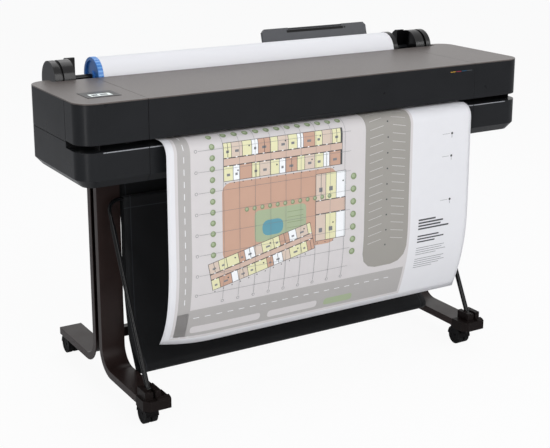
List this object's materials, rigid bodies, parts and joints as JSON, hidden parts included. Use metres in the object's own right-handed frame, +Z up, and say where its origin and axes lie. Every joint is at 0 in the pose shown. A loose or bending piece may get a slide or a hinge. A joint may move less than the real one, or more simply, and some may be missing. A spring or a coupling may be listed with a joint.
{
  "type": "large format plotter",
  "caption": "Wide inkjet plotter on a rolling stand, with a flat-topped body, rear paper roll, hanging printed sheet and fabric catch bin.",
  "frame": {"origin": "on the floor, centred under the whole object", "axes": "+X along the body to the operator's right, +Y to the back, +Z up"},
  "size_m": [1.317, 0.61, 0.8929],
  "materials": {
    "cover_black": "satin moulded",
    "cover_dark": "satin",
    "top_plate": "fine metallic satin",
    "tray_grey": "satin",
    "tray_dark": "satin",
    "bezel_grey": "semi gloss",
    "display_glass": "lit screen",
    "frame_steel": "zinc plated",
    "beam_aluminium": "mill finish",
    "rod_steel": "ground",
    "roller_rubber": "matte",
    "engine_black": "matte",
    "gear_white": "satin",
    "brass": "machined",
    "motor_steel": "satin",
    "head_blue": "semi gloss",
    "belt_rubber": "matte",
    "pulley_aluminium": "turned",
    "box_steel": "zinc plated",
    "stopper_blue": "semi gloss",
    "spindle_black": "semi gloss",
    "paper": "matte coated paper",
    "roll_paper": "matte coated paper on a cardboard core",
    "leg_paint": "fine texture powder coat",
    "hoop_paint": "satin powder coat",
    "bin_fabric": "woven",
    "caster_black": "satin",
    "tyre_black": "matte"
  },
  "bodies": {
    "frame": {"bottom_pan": "box_steel", "lower_cover_left": "cover_black", "lower_cover_center": "cover_black", "lower_cover_right": "cover_black", "left_side_cover": "cover_black", "right_cover": "cover_black", "hinge_pins": "rod_steel", "end_top_plates": "top_plate", "front_panel": "bezel_grey", "display": "display_glass", "slot_liners": "cover_dark", "rear_housing": "cover_black", "sheet_tray": "tray_grey", "end_frames": "frame_steel", "cross_beam": "beam_aluminium", "platen": "engine_black", "pinch_arms": "engine_black", "motors": "motor_steel", "carriage_rod": "rod_steel", "carriage_belt": "belt_rubber", "service_station": "engine_black", "cartridge_bay": "engine_black", "ink_cartridges": "engine_black", "electronics_box": "box_steel", "power_inlet": "cover_dark", "roll_supports": "cover_black", "printed_sheet": "paper", "leg_channels": "leg_paint", "cross_brace": "leg_paint", "foot_caps": "cover_dark", "bin_rear_rod": "hoop_paint", "bin_fabric": "bin_fabric"},
    "window": {"window_cover": "cover_black", "top_plate_center": "top_plate"},
    "door": {"ink_door": "cover_black"},
    "extension": {"tray_extension": "tray_dark"},
    "feed": {"feed_roller": "roller_rubber", "feed_gear": "gear_white"},
    "pinch": {"pinch_rollers": "roller_rubber"},
    "pinion": {"motor_pinion": "brass"},
    "carriage_body": {"carriage": "engine_black", "print_head": "head_blue"},
    "cutter": {"cutter_wheel": "rod_steel"},
    "drive_wheel": {"drive_pulley": "pulley_aluminium"},
    "idler_wheel": {"idler_pulley": "pulley_aluminium"},
    "switch": {"power_switch": "cover_dark"},
    "roll": {"spindle": "spindle_black", "paper_roll": "roll_paper"},
    "stopper": {"roll_stopper": "stopper_blue"},
    "hoop": {"bin_hoop": "hoop_paint"},
    "caster_front_left_body": {"caster_front_left": "caster_black"},
    "wheels_front_left_body": {"wheels_front_left": "tyre_black"},
    "brake_left_body": {"brake_pedal_left": "caster_black"},
    "caster_front_right_body": {"caster_front_right": "caster_black"},
    "wheels_front_right_body": {"wheels_front_right": "tyre_black"},
    "brake_right_body": {"brake_pedal_right": "caster_black"},
    "caster_rear_left_body": {"caster_rear_left": "caster_black"},
    "wheels_rear_left_body": {"wheels_rear_left": "tyre_black"},
    "caster_rear_right_body": {"caster_rear_right": "caster_black"},
    "wheels_rear_right_body": {"wheels_rear_right": "tyre_black"}
  },
  "joints": [
    {"name": "window_hinge", "type": "hinge", "parent": "frame", "child": "window", "pos_m": [0, 0.038, 0.8155], "axis": [-1, 0, 0], "range_deg": [0, 55]},
    {"name": "ink_door_hinge", "type": "hinge", "parent": "frame", "child": "door", "pos_m": [-0.649, -0.228, 0.774], "axis": [0, 0, 1], "range_deg": [-90, 0]},
    {"name": "tray_extension_slide", "type": "slide", "parent": "frame", "child": "extension", "axis": [0, 0.2756, 0.9613], "range_m": [0, 0.07]},
    {"name": "feed_roller_spin", "type": "hinge", "parent": "frame", "child": "feed", "pos_m": [0, -0.042, 0.7107], "axis": [1, 0, 0], "continuous": true},
    {"name": "pinch_roller_spin", "type": "hinge", "parent": "frame", "child": "pinch", "pos_m": [0, -0.042, 0.7278], "axis": [1, 0, 0], "continuous": true},
    {"name": "motor_pinion_spin", "type": "hinge", "parent": "frame", "child": "pinion", "pos_m": [-0.506, -0.02987, 0.75598], "axis": [1, 0, 0], "continuous": true},
    {"name": "carriage_slide", "type": "slide", "parent": "frame", "child": "carriage_body", "axis": [1, 0, 0], "range_m": [-0.985, 0]},
    {"name": "cutter_spin", "type": "hinge", "parent": "carriage_body", "child": "cutter", "pos_m": [0.587, -0.168, 0.738], "axis": [1, 0, 0], "continuous": true},
    {"name": "drive_pulley_spin", "type": "hinge", "parent": "frame", "child": "drive_wheel", "pos_m": [0.586, -0.063, 0.776], "axis": [0, 1, 0], "continuous": true},
    {"name": "idler_pulley_spin", "type": "hinge", "parent": "frame", "child": "idler_wheel", "pos_m": [-0.476, -0.063, 0.776], "axis": [0, 1, 0], "continuous": true},
    {"name": "power_switch_rock", "type": "hinge", "parent": "frame", "child": "switch", "pos_m": [0.466, 0.165, 0.696], "axis": [1, 0, 0], "range_deg": [-8, 8]},
    {"name": "spindle_spin", "type": "hinge", "parent": "frame", "child": "roll", "pos_m": [0, 0.101, 0.82], "axis": [1, 0, 0], "continuous": true},
    {"name": "stopper_slide", "type": "slide", "parent": "roll", "child": "stopper", "axis": [1, 0, 0], "range_m": [-0.028, 0]},
    {"name": "bin_hoop_swing", "type": "hinge", "parent": "frame", "child": "hoop", "pos_m": [0, -0.262, 0.098], "axis": [1, 0, 0], "range_deg": [0, 30], "deforming": ["bin_fabric"]},
    {"name": "caster_front_left_swivel", "type": "hinge", "parent": "frame", "child": "caster_front_left_body", "pos_m": [-0.497, -0.26, 0.06], "axis": [0, 0, 1], "continuous": true},
    {"name": "wheels_front_left_spin", "type": "hinge", "parent": "caster_front_left_body", "child": "wheels_front_left_body", "pos_m": [-0.497, -0.24, 0.025], "axis": [1, 0, 0], "continuous": true},
    {"name": "brake_pedal_left_press", "type": "hinge", "parent": "caster_front_left_body", "child": "brake_left_body", "pos_m": [-0.497, -0.219, 0.049], "axis": [-1, 0, 0], "range_deg": [0, 12]},
    {"name": "caster_front_right_swivel", "type": "hinge", "parent": "frame", "child": "caster_front_right_body", "pos_m": [0.497, -0.26, 0.06], "axis": [0, 0, 1], "continuous": true},
    {"name": "wheels_front_right_spin", "type": "hinge", "parent": "caster_front_right_body", "child": "wheels_front_right_body", "pos_m": [0.497, -0.24, 0.025], "axis": [1, 0, 0], "continuous": true},
    {"name": "brake_pedal_right_press", "type": "hinge", "parent": "caster_front_right_body", "child": "brake_right_body", "pos_m": [0.497, -0.219, 0.049], "axis": [-1, 0, 0], "range_deg": [0, 12]},
    {"name": "caster_rear_left_swivel", "type": "hinge", "parent": "frame", "child": "caster_rear_left_body", "pos_m": [-0.497, 0.257, 0.06], "axis": [0, 0, 1], "continuous": true},
    {"name": "wheels_rear_left_spin", "type": "hinge", "parent": "caster_rear_left_body", "child": "wheels_rear_left_body", "pos_m": [-0.497, 0.277, 0.025], "axis": [1, 0, 0], "continuous": true},
    {"name": "caster_rear_right_swivel", "type": "hinge", "parent": "frame", "child": "caster_rear_right_body", "pos_m": [0.497, 0.257, 0.06], "axis": [0, 0, 1], "continuous": true},
    {"name": "wheels_rear_right_spin", "type": "hinge", "parent": "caster_rear_right_body", "child": "wheels_rear_right_body", "pos_m": [0.497, 0.277, 0.025], "axis": [1, 0, 0], "continuous": true}
  ],
  "couplings": [
    {"joint": "pinch_roller_spin", "follows": "feed_roller_spin", "ratio": -1.5833},
    {"joint": "motor_pinion_spin", "follows": "feed_roller_spin", "ratio": -4},
    {"joint": "drive_pulley_spin", "follows": "carriage_slide", "rad_per_m": -110.5},
    {"joint": "idler_pulley_spin", "follows": "carriage_slide", "rad_per_m": -110.5}
  ]
}
